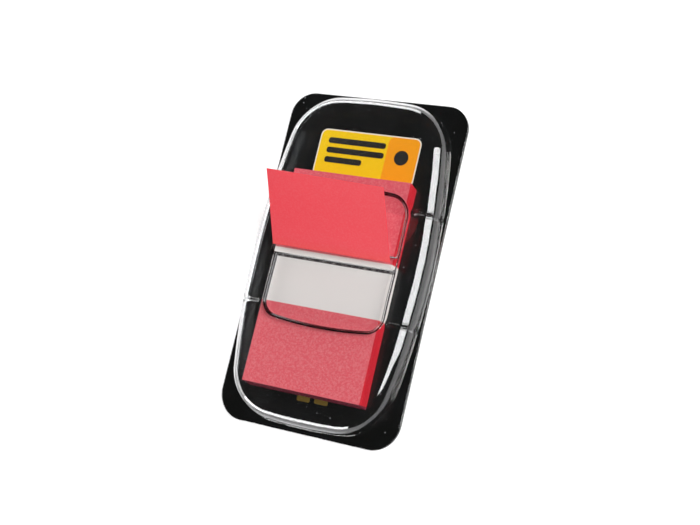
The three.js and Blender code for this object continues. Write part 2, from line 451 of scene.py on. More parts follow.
@dataclass(frozen=True)
class ClearPlastic:
    """Clear formed sheet, glossy and faintly blue, with painted shade at the panel's steep bends
    and lip.

    A slope is given as how upright the surface's normal is: 1 on the flat and 0 on a wall.
    """

    panel: Window
    # Where a grainy band of painted shade lies along the slot's lower lip.
    lip: Window
    tint: Colour = (0.985, 0.99, 1.0, 1.0)
    # The dark colour painted as shade into the panel's steep bends and along the slot's lower lip.
    painted_bend_shade: Colour = (0.012, 0.010, 0.014, 1.0)
    bend_slopes: Pair = (0.96, 0.84)
    refraction: float = 1.57
    polish: float = 0.015
    rub: float = 0.05
    marks: Pattern = Pattern(6.0, 5.0, (1.0, 0.35, 1.0), 0.5, 0.75)
    # The grain of the lower lip's painted shade.
    grain: Pattern = Pattern(0.22, 2.0, low=0.3, high=0.55)
    shade: float = 0.3
    shade_slopes: Pair = (0.93, 0.995)
    relief_strength: float = 0.2
    relief_height: float = 0.03
    swell: Pattern = Pattern(7.0, 0.0)
    swell_share: float = 0.2
    streak_scale: tuple[float, float, float] = (2.0, 40.0, 1.0)
    streak_share: float = 0.1
    streak_slopes: Pair = (0.98, 0.8)
    weld: Pair = (16.7, 31.2)
    weld_radius: float = 1.35
    weld_width: float = 0.16
    weld_share: float = 0.35

    def material(self) -> bpy.types.Material:
        """Make the material. It lets lamps through to the pad, but less so at the panel's step.

        Returns:
            The material.
        """
        paint = Painter.material("clear_plastic")
        upright = paint.math("ABSOLUTE", paint.part("Normal", "Z"))
        inside = paint.window(self.panel)
        # Painted shade: the glass turns dark where the panel's bends are steep, standing in for the
        # darkness that refraction gives there.
        bend_shade_mask = paint.math("MULTIPLY", inside, paint.ramp(upright, *self.bend_slopes))
        # Painted shade: a grainy dark band along the slot's lower lip.
        lip = paint.math("MULTIPLY", paint.window(self.lip), paint.share(self.grain))
        glass = paint.principled(
            Base_Color=paint.mix(paint.math("MAXIMUM", bend_shade_mask, lip), self.tint, self.painted_bend_shade),
            Roughness=paint.math("MULTIPLY_ADD", paint.share(self.marks), self.rub, self.polish),
            IOR=self.refraction,
            Transmission_Weight=1.0,
            Normal=self.relief(paint, upright),
        )
        flat = paint.ramp(upright, *self.shade_slopes)
        bright = paint.math("MAXIMUM", flat, paint.math("SUBTRACT", 1.0, inside))
        colour = paint.mix(bright, grey(self.shade), grey(1.0))
        clear = paint.wire("BsdfTransparent", 0, {"Color": colour})
        lit = paint.math("MAXIMUM", paint.ray("Is Shadow Ray"), paint.ray("Is Diffuse Ray"))
        return paint.finish(paint.blend(lit, glass, clear))

    def relief(self, paint: Painter, upright: Socket) -> Socket:
        """The sheet's fine unevenness.

        Args:
            paint: The material.
            upright: How upright the surface's normal is.

        Returns:
            The bent normal's socket.
        """
        swell = paint.math("MULTIPLY", paint.noise(self.swell), self.swell_share)
        slopes = paint.ramp(upright, *self.streak_slopes)
        streaks = paint.math("MULTIPLY", self.streaks(paint), slopes)
        height = paint.math("ADD", paint.math("ADD", swell, self.weld_rings(paint)), streaks)
        return paint.bump(height, self.relief_strength, self.relief_height)

    def streaks(self, paint: Painter) -> Socket:
        """Fine draw lines that run round the form, from the UV map.

        Args:
            paint: The material.

        Returns:
            Their height, as a share of the relief's.
        """
        inputs = {"Vector": paint.coordinates("UV"), "Scale": self.streak_scale}
        where = paint.wire("Mapping", 0, inputs)
        lines = paint.wire("TexNoise", "Fac", {"Vector": where, "Scale": 1.0, "Detail": 0.0})
        return paint.math("MULTIPLY", lines, self.streak_share)

    def weld_rings(self, paint: Painter) -> Socket:
        """A faint round mark in each corner of the flange.

        Args:
            paint: The material.

        Returns:
            The marks' height, as a share of the relief's.
        """
        squares = []
        for letter, centre in zip("XY", self.weld):
            offset = paint.math("ABSOLUTE", paint.part("Object", letter))
            offset = paint.math("SUBTRACT", offset, centre * MM)
            squares.append(paint.math("MULTIPLY", offset, offset))
        away = paint.math("SQRT", paint.math("ADD", *squares))
        ring = paint.math("ABSOLUTE", paint.math("SUBTRACT", away, self.weld_radius * MM))
        return paint.math("MULTIPLY", paint.ramp(ring, self.weld_width * MM, 0.0), self.weld_share)


@dataclass(frozen=True)
class BlackCard:
    """Black printed card with a gloss varnish and a little dust."""

    ink: Colour = (0.0045, 0.0048, 0.0045, 1.0)
    cloudy: Colour = (0.008, 0.0085, 0.009, 1.0)
    dust: Colour = (0.34, 0.34, 0.36, 1.0)
    dust_spacing: float = 1.3
    dust_radius: float = 0.13
    cloud: Pattern = Pattern(9.0, 4.0, low=0.45, high=0.8)
    varnish: Pattern = Pattern(0.8)
    gloss: Pair = (0.06, 0.12)
    fibre: Pattern = Pattern(0.35, 2.0)
    fibre_strength: float = 0.08
    fibre_height: float = 0.01

    def material(self) -> bpy.types.Material:
        """Make the material.

        Returns:
            The material.
        """
        paint = Painter.material("black_card")
        ink = paint.mix(paint.share(self.cloud), self.ink, self.cloudy)
        dusty = paint.specks(self.dust_spacing, self.dust_radius)
        return paint.finish(paint.principled(
            Base_Color=paint.mix(dusty, ink, self.dust),
            Roughness=paint.math("MULTIPLY_ADD", paint.noise(self.varnish), *self.gloss),
            Normal=paint.bump(paint.noise(self.fibre), self.fibre_strength, self.fibre_height),
        ))


@dataclass(frozen=True)
class PrintInk:
    """One flat printed colour with the card's gloss."""

    ink: Ink
    colour: Colour
    mottle: Pattern = Pattern(0.6, 2.0, low=0.3, high=0.7)
    depth: float = 0.93
    varnish: Pattern = Pattern(0.8)
    gloss: Pair = (0.1, 0.35)

    def material(self) -> bpy.types.Material:
        """Make the material.

        Returns:
            The material.
        """
        paint = Painter.material(self.ink.value)
        deep = tuple(self.depth * c for c in self.colour[:3]) + (1.0,)
        return paint.finish(paint.principled(
            Base_Color=paint.mix(paint.share(self.mottle), self.colour, deep),
            Roughness=paint.math("MULTIPLY_ADD", paint.noise(self.varnish), *self.gloss),
        ))


@dataclass(frozen=True)
class StackedFilm:
    """The pad: matte film with coloured ends, whose layers show as fine lines on the sides.

    The ends are coloured below low_end and above high_end, front is the lower end's Y, and top is
    the upper face's level. The lower end face is painted dark as shade, and the upper coloured end
    is painted darker and greyer as shade.
    """

    low_end: float
    high_end: float
    front: float
    top: float
    face: Colour = (0.72, 0.075, 0.10, 1.0)
    # The upper coloured end's colour, painted darker and greyer as shade.
    shaded_upper_end: Colour = (0.66, 0.085, 0.115, 1.0)
    pale: Colour = (0.90, 0.37, 0.39, 1.0)
    edge: Colour = (0.60, 0.008, 0.022, 1.0)
    line: Colour = (0.1, 0.0, 0.01, 1.0)
    # The lower end face's colour, painted dark as shade.
    end: Colour = (0.13, 0.004, 0.02, 1.0)
    clear: Colour = (0.79, 0.76, 0.73, 1.0)
    grain: Pattern = Pattern(0.36, 2.0, low=0.42, high=0.78)
    pale_share: float = 0.34
    layers: Pattern = Pattern(1.5, 2.0, (0.15, 0.15, 14.0), 0.35, 0.65)
    line_share: float = 0.35
    blur: float = 0.08
    front_shade_band: Pair = (0.2, 0.1)
    top_band: Pair = (0.06, 0.02)
    roughness: float = 0.5
    relief_strength: float = 0.3
    relief_height: float = 0.02

    def material(self) -> bpy.types.Material:
        """Make the material.

        Returns:
            The material.
        """
        paint = Painter.material("stacked_film")
        along = paint.part("Object", "Y")
        low = paint.ramp(along, (self.low_end + self.blur) * MM, (self.low_end - self.blur) * MM)
        high = paint.ramp(along, (self.high_end - self.blur) * MM, (self.high_end + self.blur) * MM)
        ends = paint.math("MAXIMUM", low, high)
        # Painted shade: the upper coloured end is darker and greyer than the lower one.
        face = paint.mix(high, paint.mix(low, self.clear, self.face), self.shaded_upper_end)
        edge = paint.mix(ends, self.clear, self.edge)
        # Painted shade: the lower end's face and the treads near it turn dark.
        front = paint.ramp(along, *((self.front + y) * MM for y in self.front_shade_band))
        edge = paint.mix(front, edge, self.end)
        lined = paint.mix(self.line_share, edge, self.line)
        side = paint.mix(paint.share(self.layers), edge, lined)
        edges = ((self.top - z) * MM for z in self.top_band)
        on_top = paint.ramp(paint.part("Object", "Z"), *edges)
        inked = paint.math("MULTIPLY", paint.math("MULTIPLY", ends, on_top), self.pale_share)
        pale = paint.math("MULTIPLY", paint.share(self.grain), inked)
        relief = paint.bump(paint.noise(self.grain), self.relief_strength, self.relief_height)
        return paint.finish(paint.principled(
            Base_Color=paint.mix(pale, paint.mix(on_top, side, face), self.pale),
            Roughness=self.roughness,
            Normal=relief,
        ))


@dataclass(frozen=True)
class TabFilm:
    """One tab's film: matte, coloured past a share of its length and clear along the rest.

    The coloured part's foot is painted a deeper red as shade.
    """

    boundary: float
    coloured: Colour = (0.82, 0.008, 0.034, 1.0)
    # A deeper red painted as shade at the foot of the coloured part.
    deep: Colour = (0.80, 0.004, 0.014, 1.0)
    pale: Colour = (0.90, 0.27, 0.31, 1.0)
    clear: Colour = (0.82, 0.77, 0.78, 1.0)
    grain: Pattern = Pattern(0.36, 2.0, low=0.42, high=0.78)
    pale_share: float = 0.12
    coat_roughness: float = 0.48
    veil_roughness: float = 0.45
    veil: float = 0.025
    through: float = 0.3
    blur: float = 0.002
    foot: float = 0.05
    relief_strength: float = 0.2
    relief_height: float = 0.02

    def material(self) -> bpy.types.Material:
        """Make the material, which reads from the UV map how far along the tab a point lies.

        Returns:
            The material.
        """
        paint = Painter.material("tab_film")
        along = paint.part("UV", "Y")
        red = paint.ramp(along, self.boundary - self.blur, self.boundary + self.blur)
        # Painted shade: the coloured part runs from the deeper red to its own red over its first
        # stretch past the bend.
        rise = paint.ramp(along, self.boundary, self.boundary + self.foot)
        pale = paint.math("MULTIPLY", paint.share(self.grain), self.pale_share)
        ink = paint.mix(pale, paint.mix(rise, self.deep, self.coloured), self.pale)
        relief = paint.bump(paint.noise(self.grain), self.relief_strength, self.relief_height)
        coat = paint.principled(Base_Color=ink, Roughness=self.coat_roughness, Normal=relief)
        glow = paint.wire("BsdfTranslucent", 0, {"Color": self.coloured})
        mist = paint.principled(
            Base_Color=self.clear, Roughness=self.veil_roughness, Normal=relief,
        )
        film = paint.blend(self.veil, paint.wire("BsdfTransparent", 0, {}), mist)
        return paint.finish(paint.blend(red, film, paint.blend(self.through, coat, glow)))


@dataclass(frozen=True)
class Barrel:
    """An outline of four shallow arcs with round corners, as the dome's foot has."""

    half_width: float
    half_length: float
    middle: float
    side_arc: float
    end_arc: float
    corner: float

    def corner_centre(self) -> Pair:
        """Find the upper right corner's arc.

        Returns:
            Its centre.
        """
        side_x = self.half_width - self.side_arc
        end_y = self.half_length - self.end_arc
        to_side = self.side_arc - self.corner
        to_end = self.end_arc - self.corner
        span = math.hypot(side_x, end_y)
        along = (to_side**2 - to_end**2 + span**2) / (2 * span)
        off = math.sqrt(to_side**2 - along**2)
        ux, uy = -side_x / span, end_y / span
        return side_x + along * ux - off * uy, along * uy + off * ux

    def quadrant(self, stations: "Stations", end: int, inset: np.ndarray) -> np.ndarray:
        """The outline's points from the side's middle to the end's middle.

        Args:
            stations: Where the columns stand.
            end: 1 for the upper end and -1 for the lower.
            inset: How far each level's point and, last, all further points are drawn in.

        Returns:
            Two columns: the distance to the middle line, and Y.
        """
        levels = stations.levels(end) - end * self.middle
        rest = float(inset[-1])
        side_x = self.half_width - self.side_arc
        end_y = self.half_length - self.end_arc
        cx, cy = self.corner_centre()
        side_turn = math.atan2(cy, cx - side_x)
        end_turn = math.atan2(cy - end_y, cx)
        radius = self.side_arc - inset[: len(levels)]
        on_side = np.stack([np.sqrt(radius**2 - levels**2) + side_x, levels], 1)
        start = math.asin(levels[-1] / (self.side_arc - rest))
        parts = [on_side]
        for x, y, r, a, b, count in (
            (side_x, 0.0, self.side_arc - rest, start, side_turn, stations.side),
            (cx, cy, self.corner - rest, side_turn, end_turn, stations.corner),
            (0.0, end_y, self.end_arc - rest, end_turn, math.pi / 2, stations.end),
        ):
            turn = a + (b - a) * np.arange(1, count + 1) / count
            parts.append(np.stack([x + r * np.cos(turn), y + r * np.sin(turn)], 1))
        points = np.concatenate(parts)
        points[:, 1] = end * points[:, 1] + self.middle
        return points


@dataclass(frozen=True)
class RoundedCard:
    """The card's outline: a rectangle whose corners differ at the top and the bottom."""

    half_width: float
    half_length: float
    top_corner: float
    bottom_corner: float

    def quadrant(self, stations: "Stations", end: int, grow: float) -> np.ndarray:
        """Follow the outline from the side's middle to the end's middle.

        Args:
            stations: Where the columns stand.
            end: 1 for the upper end and -1 for the lower.
            grow: The margin.

        Returns:
            Two columns: the distance to the middle line, and Y.
        """
        levels = stations.levels(end)
        corner = self.top_corner if end > 0 else self.bottom_corner
        cx, cy = self.half_width - corner, self.half_length - corner
        right = self.half_width + grow
        far = self.half_length + grow
        side = levels[-1] + (cy - levels[-1]) * np.arange(1, stations.side + 1) / stations.side
        turn = math.pi / 2 * np.arange(1, stations.corner + 1) / stations.corner
        across = cx * (1 - np.arange(1, stations.end + 1) / stations.end)
        side = np.concatenate([levels, side])
        points = np.concatenate([
            np.stack([np.full(len(side), right), side], 1),
            np.stack([cx + (corner + grow) * np.cos(turn), cy + (corner + grow) * np.sin(turn)], 1),
            np.stack([across, np.full(len(across), far)], 1),
        ])
        points[:, 1] *= end
        return points


@dataclass(frozen=True)
class BowedPanel:
    """The sunk panel's outline: straight sides, round corners and ends that bow outwards."""

    half_width: float
    high: float
    low: float
    top_corner: float
    bottom_corner: float
    top_arc: float
    bottom_arc: float

    def quadrant(self, stations: "Stations", end: int, grow: float) -> np.ndarray:
        """Follow the outline from the side's middle to the end's middle.

        Args:
            stations: Where the columns stand.
            end: 1 for the upper end and -1 for the lower.
            grow: The margin.

        Returns:
            Two columns: the distance to the middle line, and Y.
        """
        levels = stations.levels(end)
        upper = (self.high, self.top_corner, self.top_arc)
        lower = (-self.low, self.bottom_corner, self.bottom_arc)
        far, corner, bow = upper if end > 0 else lower
        cx = self.half_width - corner
        lean = math.asin(cx / (bow - corner))
        cy = far - bow + (bow - corner) * math.cos(lean)
        radius = corner + grow
        rise = np.clip(levels - cy, 0.0, None)
        on_side = np.stack([cx + np.sqrt(radius**2 - rise**2), levels], 1)
        start = math.asin((levels[-1] - cy) / radius)
        corner_run = radius * (math.pi / 2 - lean - start)
        bow_run = (bow + grow) * lean
        count = stations.side + stations.corner + stations.end
        run = (corner_run + bow_run) * np.arange(1, count + 1) / count
        on_corner = run < corner_run
        past = math.pi / 2 - lean + (run - corner_run) / (bow + grow)
        turn = np.where(on_corner, start + run / radius, past)
        x = np.where(on_corner, cx + radius * np.cos(turn), (bow + grow) * np.cos(turn))
        on_bow = far - bow + (bow + grow) * np.sin(turn)
        y = np.where(on_corner, cy + radius * np.sin(turn), on_bow)
        points = np.concatenate([on_side, np.stack([x, y], 1)])
        points[:, 1] *= end
        return points


@dataclass(frozen=True)
class Stations:
    """Where the columns of the cover's mesh stand round its outlines."""

    reach: float
    step: float
    fine_step: float
    fine_spans: tuple[Pair, ...]
    side: int = 10
    corner: int = 18
    end: int = 14

    def levels(self, end: int) -> np.ndarray:
        """The heights along the side, from the middle outwards, that all outlines share.

        Args:
            end: 1 for the upper half and -1 for the lower.

        Returns:
            Rising distances from the middle, beginning with 0.
        """
        marks = list(np.arange(0.0, self.reach, self.step)) + [self.reach]
        for low, high in self.fine_spans:
            a, b = sorted((low * end, high * end))
            if b <= 0:
                continue
            slack = self.fine_step / 2
            fine = np.arange(max(a, self.fine_step), b + slack, self.fine_step)
            marks = [m for m in marks if m < a - slack or m > b + slack] + list(fine)
        return np.array(sorted({round(m, 5) for m in marks} | {0.0}))

    def ring(
        self, upper: np.ndarray, lower: np.ndarray, middle: float, z: np.ndarray | float,
    ) -> np.ndarray:
        """Close a ring from its two right-hand quadrants.

        Args:
            upper: The upper quadrant's points.
            lower: The lower quadrant's points.
            middle: The outline's middle line.
            z: One level, or one for each upper and then each lower point.

        Returns:
            The ring's points, with the first one again at the end.
        """
        level = np.broadcast_to(z, (len(upper) + len(lower),))
        up = np.column_stack([upper, level[: len(upper)]])
        down = np.column_stack([lower, level[len(upper):]])
        mirror = np.array([-1.0, 1.0, 1.0])
        points = np.concatenate([up, (up * mirror)[-2::-1], (down * mirror)[1:], down[-2::-1]])
        points[:, 0] += middle
        return points


@dataclass(frozen=True)
class Cover:
    """The clear cover: one formed sheet with its flange, dome, sunk panel, slot and grooves."""

    card: NodeBox
    box: NodeBox
    pad: NodeBox
    wall: float = 0.25
    rim_round: float = 0.06
    flange_side: float = 0.2
    flange_end: float = 0.65
    top_corner: float = 4.8
    bottom_corner: float = 5.6
    dome_y: float = 0.25
    side_arc: float = 147.0
    end_arc: float = 105.0
    dome_corner: float = 10.6
    base_fillet: float = 0.2
    wall_rise: float = 1.1
    draft: float = math.radians(3)
    panel_depth: float = 0.45
    panel_x: float = 0.15
    panel_width: float = 24.4
    panel_above: float = 11.8
    panel_below: float = 12.5
    panel_corners: Pair = (3.8, 2.8)
    panel_arcs: Pair = (130.0, 80.0)
    panel_margin: float = 1.2
    panel_blur: float = 0.2
    step_start: float = 0.1
    step_bend: float = 0.3
    step_angle: float = math.radians(64)
    step_gather: float = 1.0
    slot_x: float = -0.4
    slot_y: float = 0.72
    slot_width: float = 2.35
    slot_corner: float = 0.5
    slot_clearance: float = 0.25
    lip_width: float = 0.6
    lip_bend: float = 0.68
    # How much of the lower lip's width the band of painted shade covers.
    lip_shade: float = 0.6
    lip_blur: float = 0.08
    groove_levels: Pair = (11.12, -10.48)
    groove_half_width: float = 0.38
    groove_depth: float = 0.26
    groove_reach: float = 5.3
    groove_fade: float = 0.5
    wave_heights: Pair = (0.028, 0.014)
    wave_aside: float = 0.03
    fillet_rings: int = 7
    wall_rings: int = 3
    shoulder_rings: int = 30
    crest_rings: int = 9
    step_rings: int = 8
    floor_columns: int = 26
    column_reach: float = 12.0
    column_step: float = 0.6
    fine_step: float = 0.06
    fine_margin: float = 0.12

    @property
    def flange_top(self) -> float:
        """The level of the flange's upper face."""
        return self.box.low.z + self.wall

    @property
    def dome_top(self) -> float:
        """The level of the dome's upper face."""
        return self.box.high.z

    @property
    def slot_low(self) -> float:
        """Where the slot's lower lip ends."""
        return self.slot_y - self.slot_width / 2

    @property
    def slot_high(self) -> float:
        """Where the slot's upper lip ends."""
        return self.slot_y + self.slot_width / 2

    @property
    def slot_half(self) -> float:
        """Half the slot's length, which clears the pad's width on both sides."""
        return self.pad.size.x / 2 + abs(self.pad.middle.x - self.slot_x) + self.slot_clearance

    def outlines(self) -> tuple[RoundedCard, Barrel, BowedPanel]:
        """Draw the outlines that the sheet is formed on.

        Returns:
            Those of the flange, of the dome's foot and of the sunk panel's floor.
        """
        half = self.card.size / 2
        flange = RoundedCard(half.x, half.y, self.top_corner, self.bottom_corner)
        foot = Barrel(
            half.x - self.flange_side, half.y - self.flange_end, self.dome_y,
            self.side_arc, self.end_arc, self.dome_corner,
        )
        panel = BowedPanel(
            self.panel_width / 2, self.slot_high + self.panel_above,
            self.slot_low - self.panel_below, *self.panel_corners, *self.panel_arcs,
        )
        return flange, foot, panel

    def stations(self) -> Stations:
        """Set the mesh's columns, fine along the lips and across the grooves.

        Returns:
            The columns.
        """
        margin = self.fine_margin
        half = self.groove_half_width + margin
        spans = tuple((y - half, y + half) for y in self.groove_levels) + (
            (self.slot_low - self.lip_width, self.slot_low + margin),
            (self.slot_high - margin, self.slot_high + self.lip_width),
        )
        return Stations(self.column_reach, self.column_step, self.fine_step, spans)

    def section(self, depth: float) -> list[tuple[float, float, float, float, float]]:
        """The wall's section from the flange up to the crest, a set depth under the outer face.

        Args:
            depth: 0 for the outer face and the wall's thickness for the inner.

        Returns:
            For each ring its inset, its level, the outer normal's two parts, and its share of a
            groove's depth.
        """
        rings = []
        height = self.dome_top - self.flange_top
        shoulder = (height - self.wall_rise) / (1 - math.sin(self.draft)) - self.base_fillet
        foot = self.base_fillet + depth
        for i in range(self.fillet_rings + 1):
            share = i / self.fillet_rings
            a = (math.pi / 2 - self.draft) * share
            z = self.flange_top + self.base_fillet - foot * math.cos(a)
            fade = float(ease(np.array(share)))
            rings.append((foot * math.sin(a), z, -math.sin(a), math.cos(a), fade))
        shoulder_z = self.dome_top - shoulder
        lean = self.wall_rise * math.tan(self.draft)
        shoulder_in = (self.base_fillet + shoulder) * math.cos(self.draft) + lean
        turn = shoulder - depth
        upper = []
        for i in range(self.shoulder_rings + 1):
            a = self.draft + (math.pi / 2 - self.draft) * i / self.shoulder_rings
            z = shoulder_z + turn * math.sin(a)
            upper.append((shoulder_in - turn * math.cos(a), z, -math.cos(a), math.sin(a), 1.0))
        first, last = np.array(rings[-1]), np.array(upper[0])
        shares = [i / self.wall_rings for i in range(1, self.wall_rings)]
        return rings + [tuple(first + (last - first) * share) for share in shares] + upper

    def groove(self, levels: np.ndarray, end: int, depth: float) -> np.ndarray:
        """Work out one end's groove.

        Args:
            levels: Distances from the middle.
            end: 1 for the upper groove and -1 for the lower.
            depth: 0 for the outer face and the wall's thickness for the inner.

        Returns:
            How deep it is at each level, as a share of its full depth.
        """
        y0 = max(end * y for y in self.groove_levels)
        half = self.groove_half_width + depth
        away = np.clip(np.abs(levels - y0) / half, 0.0, 1.0)
        return np.cos(away * math.pi / 2) ** 2

    def lip(self, y: np.ndarray, depth: float) -> np.ndarray:
        """Work out the lips, which turn up round a bend.

        Args:
            y: Places along Y.
            depth: 0 for the outer face and the wall's thickness for the inner.

        Returns:
            How high they rise over the panel's floor at each place.
        """
        away = np.clip(np.maximum(self.slot_low - y, y - self.slot_high), 0.0, self.lip_width)
        radius = self.lip_bend + depth
        return radius - np.sqrt(radius**2 - (self.lip_width - away) ** 2)

    def step(self, depth: float) -> list[tuple[float, float]]:
        """The step down to the panel's floor: a bend, a steep slope and a bend.

        Args:
            depth: 0 for the outer face and the wall's thickness for the inner.

        Returns:
            For each ring how far it lies outside the floor's outline, and its level.
        """
        half = self.wall / 2
        rise, run = math.sin(self.step_angle), math.cos(self.step_angle)
        slope = (self.panel_depth - 2 * self.step_bend * (1 - run)) / rise
        across = 2 * self.step_bend * rise + slope * run
        high, low = self.step_bend + half - depth, self.step_bend - half + depth
        top = self.dome_top - half - self.step_bend
        bottom = self.dome_top - half - self.panel_depth + self.step_bend
        start = self.step_start + depth * self.step_gather
        turns = [self.step_angle * i / self.step_rings for i in range(self.step_rings + 1)]
        upper = [(start + across - high * math.sin(a), top + high * math.cos(a)) for a in turns]
        lower = [(start + low * math.sin(a), bottom - low * math.cos(a)) for a in reversed(turns)]
        return upper + lower

    def wave(self, points: np.ndarray) -> np.ndarray:
        """Give the formed sheet its slight unevenness, in a few long, faint waves.

        Args:
            points: The sheet's points.

        Returns:
            The moved points.
        """
        x, y = points[..., 0], points[..., 1]
        height = self.dome_top - self.flange_top
        up = np.clip((points[..., 2] - self.flange_top) / height, 0.0, 1.0)
        broad, narrow = self.wave_heights
        swell = broad * np.sin(0.31 * y + 0.8) * np.sin(0.23 * x + 1.1)
        swell += narrow * np.sin(0.83 * y + 0.5 * x)
        shifted = points.copy()
        shifted[..., 0] += up * self.wave_aside * np.sin(0.37 * y + np.sign(x)) * np.sign(x)
        shifted[..., 2] += up * (swell - broad - narrow)
        return shifted

    def skin(self, depth: float) -> list[bpy.types.Object]:
        """One face of the sheet, from the flange's rim to the panel's floor.

        Args:
            depth: 0 for the outer face and the wall's thickness for the inner.

        Returns:
            The ring-shaped part and the panel's floor, which meet along an outline.
        """
        stations = self.stations()
        flange, foot, panel = self.outlines()
        ends = (1, -1)
        levels = [stations.levels(end) for end in ends]
        grooves = [self.groove(lv, end, depth) for lv, end in zip(levels, ends)]
        flat = self.flange_top - depth
        rim = self.box.low.z
        rings = [self.plain_ring(stations, flange, 0.0, rim, 0.0)]
        if depth == 0:
            rings.append(self.plain_ring(stations, flange, 0.0, flat - self.rim_round, 0.0))
            rings.append(self.plain_ring(stations, flange, -self.rim_round, flat, 0.0))
        for inset, z, out, up, share in self.section(depth):
            quadrants, heights = [], []
            for end, lv, groove in zip(ends, levels, grooves):
                sink = self.groove_depth * groove * share
                drawn = np.append(inset - sink * out, inset)
                quadrant = foot.quadrant(stations, end, drawn)
                quadrants.append(quadrant)
                level = np.full(len(quadrant), z)
                level[: len(lv)] -= sink * up
                heights.append(level)
            rings.append(stations.ring(*quadrants, 0.0, np.concatenate(heights)))
        crest = rings[-1]
        step = self.step(depth)
        face = self.dome_top - depth
        outer = self.plain_ring(stations, panel, step[0][0], face, self.panel_x)
        base = crest.copy()
        base[:, 2] = face
        dip = base[:, 2] - crest[:, 2]
        inner_end = self.card.size.x / 2 - self.flange_side - self.groove_reach
        for i in range(1, self.crest_rings):
            share = i / self.crest_rings
            ring = base + (outer - base) * share
            ring[:, 2] -= dip * ease((np.abs(ring[:, 0]) - inner_end + depth) / self.groove_fade)
            rings.append(ring)
        for grow, z in step:
            ring = self.plain_ring(stations, panel, grow, z, self.panel_x)
            ring[:, 2] += self.lip(ring[:, 1], depth) * (face - z) / self.panel_depth
            rings.append(ring)
        sheet = self.wave(np.array(rings))
        floor = self.floor_rows(stations, sheet[-1])
        return [shaped_grid("cover_skin", sheet), shaped_grid("cover_floor", floor)]

    def plain_ring(
        self, stations: Stations, outline: RoundedCard | BowedPanel, grow: float, z: float,
        middle: float,
    ) -> np.ndarray:
        """A level ring along an outline grown by a margin."""
        upper, lower = (outline.quadrant(stations, end, grow) for end in (1, -1))
        return stations.ring(upper, lower, middle, z)

    def floor_rows(self, stations: Stations, ring: np.ndarray) -> np.ndarray:
        """The panel's floor as rows between facing points of its outline.

        Args:
            stations: The mesh's columns.
            ring: The outline's closed ring.

        Returns:
            Rows from the lower end to the upper one.
        """
        rest = stations.side + stations.corner + stations.end
        upper = len(stations.levels(1)) + rest
        lower = len(stations.levels(-1)) + rest
        right_up = ring[:upper]
        left_up = ring[upper - 1: 2 * upper - 1][::-1]
        left_down = ring[2 * upper - 2: 2 * upper - 2 + lower]
        right_down = ring[2 * upper + lower - 3:][::-1]
        right = np.concatenate([right_down[:0:-1], right_up])
        left = np.concatenate([left_down[:0:-1], left_up])
        share = np.linspace(0.0, 1.0, self.floor_columns + 1)[None, :, None]
        return left[:, None, :] * (1 - share) + right[:, None, :] * share

    def slot_cutter(self) -> bpy.types.Object:
        """Make the block with round corners that cuts the slot.

        Returns:
            The block.
        """
        height = 2 * self.panel_depth + 4 * self.wall
        deselect()
        bpy.ops.mesh.primitive_cube_add(
            size=1,
            location=Vector((self.slot_x, self.slot_y, self.dome_top - height / 4)) * MM,
            scale=Vector((2 * self.slot_half, self.slot_width, height)) * MM,
        )
        block = bpy.context.object
        place(block)
        bpy.context.tool_settings.mesh_select_mode = (False, True, False)
        for edge, upright in zip(block.data.edges, upright_edges(block)):
            edge.select = upright
        bpy.ops.object.mode_set(mode="EDIT")
        bpy.ops.mesh.bevel(offset=self.slot_corner * MM, segments=6, affect="EDGES")
        bpy.ops.object.mode_set(mode="OBJECT")
        return block

    def finish(self) -> ClearPlastic:
        """Choose the plastic's finish.

        Returns:
            The finish, with the places of the panel and of the slot's lower lip.
        """
        low, high = self.slot_low - self.panel_below, self.slot_high + self.panel_above
        margin = self.panel_margin
        reach = (self.panel_width / 2 + margin, (high - low) / 2 + margin)
        lip_middle = (self.slot_x, self.slot_low - self.lip_width / 2)
        return ClearPlastic(
            Window((self.panel_x, (low + high) / 2), reach, self.panel_blur),
            # The lower lip's window, where a grainy band of painted shade lies.
            Window(lip_middle, (self.slot_half, self.lip_shade * self.lip_width), self.lip_blur),
        )

    def build(self, finish: ClearPlastic) -> bpy.types.Object:
        """Make the cover.

        Args:
            finish: The plastic's finish.

        Returns:
            The finished piece.
        """
        sheet = joined("clear_cover_formed", self.skin(0.0) + self.skin(self.wall))
        close_mesh(sheet)
        block = self.slot_cutter()
        apply_modifier(sheet, "BOOLEAN", operation="DIFFERENCE", solver="EXACT", object=block)
        bpy.data.objects.remove(block)
        smooth(sheet)
        dress(sheet, [finish.material()])
        register(sheet, "clear_cover")
        return sheet


@dataclass(frozen=True)
class PrintedField:
    """One flat field of the print: its ink, centre, sizes, corner radius and the inks under it."""

    ink: Ink
    x: float
    y: float
    width: float
    height: float
    corner: float
    layer: int


